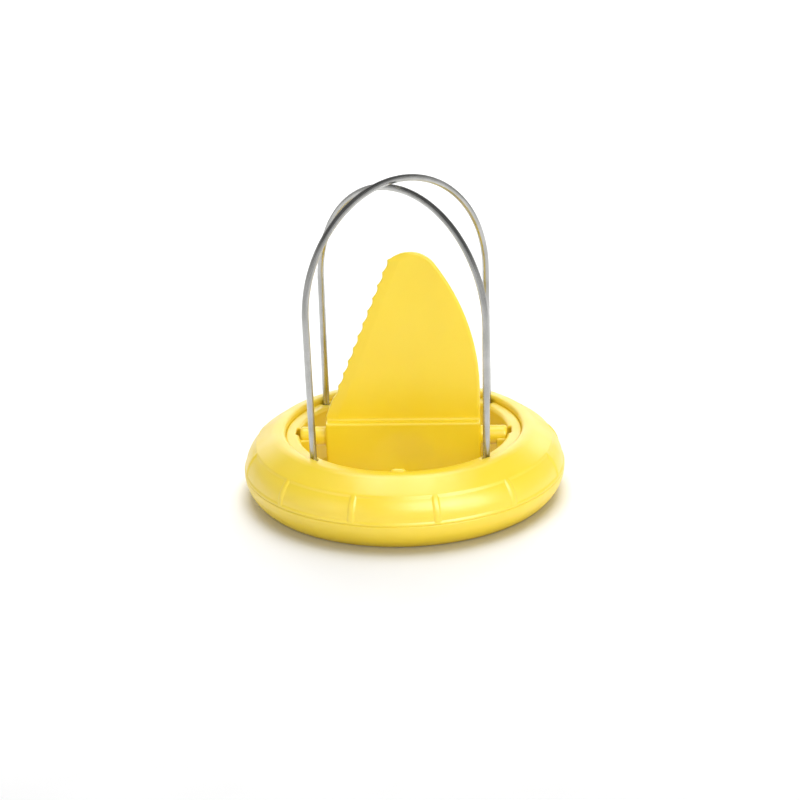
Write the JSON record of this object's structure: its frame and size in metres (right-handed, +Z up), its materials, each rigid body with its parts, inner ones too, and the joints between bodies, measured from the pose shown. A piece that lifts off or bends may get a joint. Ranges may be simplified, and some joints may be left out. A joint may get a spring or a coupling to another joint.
{
  "type": "fruit cutter",
  "caption": "Kiwi fruit cutter: a moulded plastic ring with two crossed wire arches, and a serrated plastic knife that swings in the ring's opening.",
  "frame": {"origin": "centre of the ring, on the surface that it stands on", "axes": "+Z up through the crossing of the wires, +X along the knife's stub axles, -Y to the front, where the ledge has its nub"},
  "size_m": [0.085, 0.085, 0.0856],
  "materials": {
    "ring_plastic": "glossy moulded",
    "knife_plastic": "glossy moulded, slightly translucent",
    "steel_wire": "bright drawn wire"
  },
  "bodies": {
    "ring": {"crown_shell": "ring_plastic", "base_shell": "ring_plastic", "wire_holder": "ring_plastic", "upper_wire": "steel_wire", "lower_wire": "steel_wire"},
    "knife": {"knife": "knife_plastic"}
  },
  "joints": [
    {"name": "knife_swing", "type": "hinge", "parent": "ring", "child": "knife", "pos_m": [0, 0, 0.0147], "axis": [1, 0, 0], "range_deg": [-78, 78]}
  ]
}
